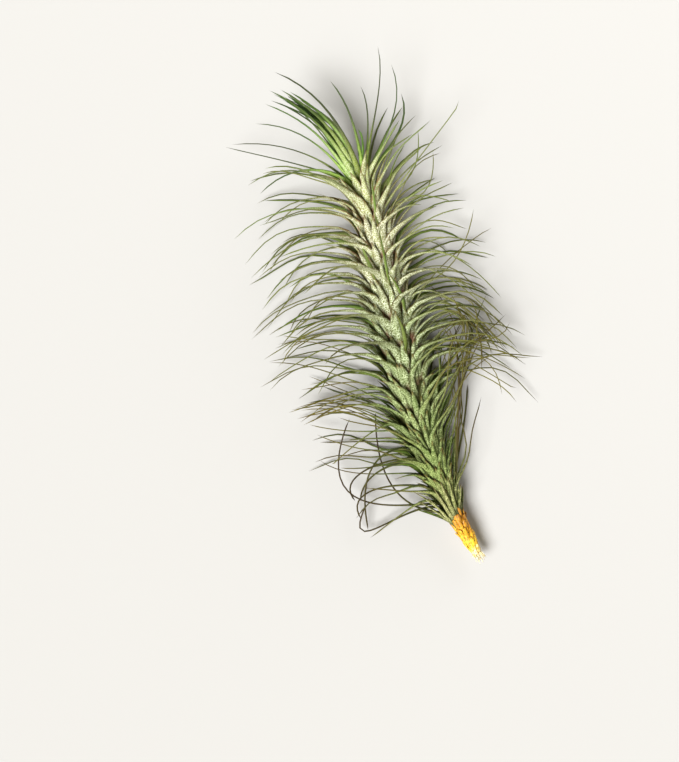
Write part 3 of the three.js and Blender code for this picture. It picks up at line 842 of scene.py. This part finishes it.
# Each piece of blades with its own run of draws
scurfyMature = makeScurfyLeaf("scurfyMatureLeaf", scurfyLeaf)
bladePieces = {
    "matureLeaves": (mature, matureBlade, 11, scurfyMature),
    "shortLeaves": (short, matureBlade, 14, scurfyMature),
    "threadLeaves": (threads, threadBlade, 19, makeScurfyLeaf("scurfyThread", threadLook)),
    "oldLeaves": (old, oldBlade, 12, makeScurfyLeaf("scurfyOldLeaf", oldLook)),
    "bunchLeaves": (bunch, youngBlade, 13, makeScurfyLeaf("scurfyBunchLeaf", bunchLook)),
    "youngLeaves": (single, youngBlade, 20, makeScurfyLeaf("scurfyYoungLeaf", youngLook)),
    "fineLeaves": (fine, fineBlade, 15, makeScurfyLeaf("scurfyFineLeaf", fineLook)),
    "lowLeaves": (low, lowBlade, 16, scurfyMature),
    "turnedLeaves": (turned, turnedBlade, 18, scurfyMature),
    "stubLeaves": (stubs, lowBlade, 17, scurfyMature),
}
pieces = {}
for name, (leaves, blade, seed, material) in bladePieces.items():
    pieces[name] = bendBlades(name, leaves, blade, seed)
    pieces[name].data.materials.append(material)
print("blades bent")


def tube(name, rod, radii):  # a closed rod along the stem
    bm = bmesh.new()
    draws = SeededDraws(rod["seed"])
    made = bmesh.ops.create_circle(bm, segments=rod["sides"], radius=1, cap_ends=True)["verts"]
    angles = [math.atan2(v.co.y, v.co.x) for v in made]
    ring = bm.edges[:]
    for n, y in enumerate(np.linspace(rod["from"], rod["to"], rod["rings"])):
        if n > 0:
            made, ring = nextRing(bm, ring)
        _, up, right = stemFrame(y)
        radius = along(radii, y) * rod["share"] - rod["inset"]
        for v, angle in zip(made, angles):
            r = radius * (1 + rod["crease"] * draws.next())
            at = stemPoint(y) + right * math.cos(angle) * r + up * math.sin(angle) * r
            v.co = ((at[0] - plant["origin"][0]) * mm, (at[1] - plant["origin"][1]) * mm, at[2] * mm)
    bmesh.ops.contextual_create(bm, geom=ring)
    bmesh.ops.recalc_face_normals(bm, faces=bm.faces)
    return newPiece(name, bm)


# Stem between the leaf bases, mostly hidden: soft brown wood, coloured dark as painted shade of the gaps
# between the bases
innerStem = {
    "from": 10.8,
    "to": 101.5,
    "rings": 40,
    "sides": 16,
    "share": 1,
    "inset": 0.15,
    "crease": 0.05,
    "seed": 7,
    "crown": [(91, 2.9), (94, 1.7), (98, 1), (101.5, 0.4)],
    # the stem's own brown, kept dark as painted shade of the gaps
    "colours": [(0.3, "#262a0e"), (0.7, "#46481c")],
    "grain": 0.9,  # mm
    "sheen": {"Roughness": 0.8, "Specular IOR Level": 0.25},
}


def makeStemAndGapShade():
    material, tree = newMaterial("stemWoodWithGapShade")
    onPlant = addNode(tree, "TexCoord").outputs["Object"]
    cloud = addNode(tree, "TexNoise", {"Scale": 1 / (innerStem["grain"] * mm), "Detail": 4},
                    {"Vector": onPlant})
    colour = addNode(tree, "ValToRGB", {"stops": innerStem["colours"]}, {0: cloud})
    shader = addNode(tree, "BsdfPrincipled", innerStem["sheen"], {"Base Color": colour})
    addNode(tree, "OutputMaterial", {}, {0: shader})
    return material


pieces["stemWood"] = tube("stemWood", innerStem, plant["coreRadius"][:-1] + innerStem["crown"])
pieces["stemWood"].data.materials.append(makeStemAndGapShade())
print("inner stem made")

# Foot: dry stem end in papery remains of old leaf bases, orange to yellow, with a pale torn end
footRod = {
    "from": 0.1,
    "to": 11.4,
    "rings": 20,
    "sides": 16,
    "share": 0.93,  # of the stem's radius
    "inset": 0,
    "crease": 0.07,
    "seed": 31,
}
footLook = {
    "colours": [(0, "#efe9be"), (0.2, "#f0d038"), (0.45, "#e9b426"), (0.72, "#cc9224"), (1, "#8e6420")],
    "length": 13,  # mm from the cut end over which they run
    "cloud": 1.2,  # mm
    "shift": {"To Min": -0.5, "To Max": 0.5},  # how far the clouds shift them
    "fibre": 0.2,  # mm between the fibres of the papery sheath
    "drawnOut": 0.12,  # the pattern's scale along the fibres
    "streaks": {"From Min": 0.48, "From Max": 0.62, "To Max": 0.7},
    "stain": "#98560e",
    "pit": 0.45,  # mm
    "pits": {"From Min": 0.57, "From Max": 0.66, "To Max": 0.8},
    "speck": "#4a2606",
    "relief": {"Strength": 0.8, "Distance": 0.08 * mm},
    "sheen": {"Roughness": 0.5, "Specular IOR Level": 0.35},
}


def makePaperySheath():
    material, tree = newMaterial("paperySheath")
    onPlant = addNode(tree, "TexCoord").outputs["Object"]
    split = addNode(tree, "SeparateXYZ", {}, {0: onPlant})
    cutEnd = -plant["origin"][1] * mm
    rough = addNode(tree, "TexNoise", {"Scale": 1 / (footLook["cloud"] * mm), "Detail": 4},
                    {"Vector": onPlant})
    place = addNode(tree, "MapRange", {"From Min": cutEnd, "From Max": cutEnd + footLook["length"] * mm},
                    {0: split.outputs["Y"]})
    shift = addNode(tree, "MapRange", footLook["shift"], {0: rough})
    blended = addNode(tree, "Math", {"operation": "ADD", "use_clamp": True}, {0: place, 1: shift})
    colour = addNode(tree, "ValToRGB", {"stops": footLook["colours"]}, {0: blended})
    stretch = addNode(tree, "Mapping", {"Scale": (1, footLook["drawnOut"], 1)}, {"Vector": onPlant})
    fibres = addNode(tree, "TexNoise", {"Scale": 1 / (footLook["fibre"] * mm), "Detail": 2},
                     {"Vector": stretch})
    streak = addNode(tree, "MapRange", footLook["streaks"], {0: fibres})
    streaked = addNode(tree, "Mix", {"data_type": "RGBA", 7: hexColour(footLook["stain"])},
                       {0: streak, 6: colour})
    pits = addNode(tree, "TexNoise", {"Scale": 1 / (footLook["pit"] * mm), "Detail": 2}, {"Vector": onPlant})
    pitted = addNode(tree, "MapRange", footLook["pits"], {0: pits})
    finished = addNode(tree, "Mix", {"data_type": "RGBA", 7: hexColour(footLook["speck"])},
                       {0: pitted, 6: streaked.outputs[2]})
    bump = addNode(tree, "Bump", footLook["relief"], {"Height": fibres})
    shader = addNode(tree, "BsdfPrincipled", footLook["sheen"],
                     {"Base Color": finished.outputs[2], "Normal": bump})
    addNode(tree, "OutputMaterial", {}, {0: shader})
    return material


sheathScale = {
    "count": 54,
    "seed": 51,
    "from": 1.2,
    "to": 11,
    "strays": 0.5,
    "turns": 10,
    "sink": 0.15,
    "length": (3.4, 1.4),  # mm, and how far that varies
    "tipOut": (0.55, 0.5),
    "bow": (0.55, 0.35),  # share of the length at which it bows out, and how far
    "bendSeed": 52,
    "sides": 6,
    "rows": 8,
    "width": [(0, 0.8), (1.5, 1.3), (3, 1), (4.5, 0.55), (6, 0.15)],
    "thickness": [(0, 0.36), (6, 0.16)],
    "breadth": [(0, 1)],
    "claspRadius": 1.7,
    "roll": 12,
}
frayedFibre = {
    "count": 40,
    "seed": 61,
    "rootY": (1.6, 0.8),
    "radius": (0.9, 0.35),
    "length": (2.3, 0.9),
    "tipOut": (0.3, 0.6),
    "bow": 0.5,
    "bendSeed": 62,
    "sides": 5,
    "rows": 6,
    "width": [(0, 0.3), (2, 0.22), (4, 0.1)],
    "thickness": [(0, 0.24), (4, 0.1)],
    "breadth": [(0, 1)],
    "claspRadius": 3.0,
    "roll": 0,
}


def bowedLeaf(rootY, azimuth, root, middle, tip):
    t = np.linspace(0, 1, plant["steps"] + 1)[:, None]
    path = (1 - t) ** 2 * root + 2 * (1 - t) * t * middle + t ** 2 * tip
    return {"rootY": rootY, "azimuth": azimuth, "path": path, "worn": False}


def growScales():
    draws = SeededDraws(sheathScale["seed"])
    bowAt, bowOut = sheathScale["bow"]
    scales = []
    for i in range(sheathScale["count"]):
        rootY = draws.near(spaced(sheathScale, i), sheathScale["strays"])
        azimuth = draws.near(i * plant["goldenAngle"], sheathScale["turns"])
        out, forward = outward(rootY, azimuth), stemFrame(rootY)[0]
        root = stemPoint(rootY) + out * (along(plant["coreRadius"], rootY) - sheathScale["sink"])
        length = draws.near(*sheathScale["length"])
        tip = root + forward * length + out * draws.near(*sheathScale["tipOut"])
        middle = root + forward * length * bowAt + out * bowOut
        scales.append(bowedLeaf(rootY, azimuth, root, middle, tip))
    return scales


def growFibres():
    draws = SeededDraws(frayedFibre["seed"])
    fibres = []
    for i in range(frayedFibre["count"]):
        azimuth = i * plant["goldenAngle"]
        rootY = draws.near(*frayedFibre["rootY"])
        out, forward = outward(rootY, azimuth), stemFrame(rootY)[0]
        root = stemPoint(rootY) + out * draws.near(*frayedFibre["radius"])
        length = draws.near(*frayedFibre["length"])
        tip = root - forward * length + out * draws.near(*frayedFibre["tipOut"])
        middle = root - forward * length * frayedFibre["bow"]
        fibres.append(bowedLeaf(rootY, azimuth, root, middle, tip))
    return fibres


papery = makePaperySheath()
pieces["footStem"] = tube("footStem", footRod, plant["coreRadius"])
pieces["sheathRemains"] = bendBlades("sheathRemains", growScales(), sheathScale, sheathScale["bendSeed"])
pieces["frayedFibres"] = bendBlades("frayedFibres", growFibres(), frayedFibre, frayedFibre["bendSeed"])
for name in ("footStem", "sheathRemains", "frayedFibres"):
    pieces[name].data.materials.append(papery)
print("foot made")

# Each piece rides with the plant and takes a node's place
carried = {
    "leafy_stem": ("mature_leaf", ("matureLeaves", "shortLeaves", "turnedLeaves", "threadLeaves", "oldLeaves",
                                   "lowLeaves", "stubLeaves", "stemWood")),
    "crown_leaves": ("young_leaf", ("bunchLeaves", "youngLeaves", "fineLeaves")),
    "stem_foot": ("papery_stem", ("footStem", "sheathRemains", "frayedFibres")),
}
for node, (slot, names) in carried.items():
    for piece in [pieces[name] for name in names]:
        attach(piece, "root")
        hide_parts(node)

# Floor: plain pale matt board
floorLook = {"colour": "#aeadab", "width": 12, "roughness": 0.9, "specular": 0.2}


def makeFloor():
    bm = bmesh.new()
    bmesh.ops.create_grid(bm, x_segments=1, y_segments=1, size=floorLook["width"] / 2)
    floor = newPiece("floor", bm)
    material, tree = newMaterial("mattPaintedBoard")
    shader = addNode(tree, "BsdfPrincipled",
                     {"Base Color": hexColour(floorLook["colour"]), "Roughness": floorLook["roughness"],
                      "Specular IOR Level": floorLook["specular"]})
    addNode(tree, "OutputMaterial", {}, {0: shader})
    floor.data.materials.append(material)
    return floor


makeFloor()

# Studio light: a soft key from the left and the foot's end, a weaker fill from low down opposite, and a pale
# surround, which is seen brighter than it shines so that the floor runs on into it
lights = {
    "key": {"kind": "SUN", "at": (-0.46, -0.24, 0.85), "power": 6.6, "angle": 32},
    "fill": {"kind": "AREA", "at": (0.55, 0.4, 0.3), "power": 2.6, "size": 0.5},
}
surround = {"shining": "#f4e8c6", "strength": 0.27, "seenColour": "#fbf8f0", "seen": 0.84}
for name, light in lights.items():
    data = bpy.data.lights.new(name, light["kind"])
    data.energy = light["power"]
    if light["kind"] == "SUN":
        data.angle = math.radians(light["angle"])
    else:
        data.size = light["size"]
    lamp = newObject(name, data)
    lamp.location = light["at"]
    lamp.rotation_euler = (-Vector(light["at"])).to_track_quat("-Z", "Y").to_euler()
world = bpy.data.worlds.new("surround")
world.use_nodes = True
tree = world.node_tree
tree.nodes.clear()
shining = addNode(tree, "Background",
                  {"Color": hexColour(surround["shining"]), "Strength": surround["strength"]})
seen = addNode(tree, "Background", {"Color": hexColour(surround["seenColour"]), "Strength": surround["seen"]})
rays = addNode(tree, "LightPath")
both = addNode(tree, "MixShader", {}, {0: rays.outputs["Is Camera Ray"], 1: shining, 2: seen})
addNode(tree, "OutputWorld", {}, {0: both})
bpy.context.scene.world = world

# Camera: straight above, turned so that the crown leans up and to the left
view = {"lens": 85, "height": 0.4488, "at": (-0.01534, -0.0111), "roll": -18.07}
camera = newObject("camera", bpy.data.cameras.new("camera"))
camera.data.lens = view["lens"]
camera.data.sensor_width = 36
camera.location = (view["at"][0], view["at"][1], view["height"])
camera.rotation_euler = (0, 0, math.radians(view["roll"]))
bpy.context.scene.camera = camera
bpy.context.scene.view_settings.view_transform = "Standard"  # hex colours show as they are
print("stage and camera set")
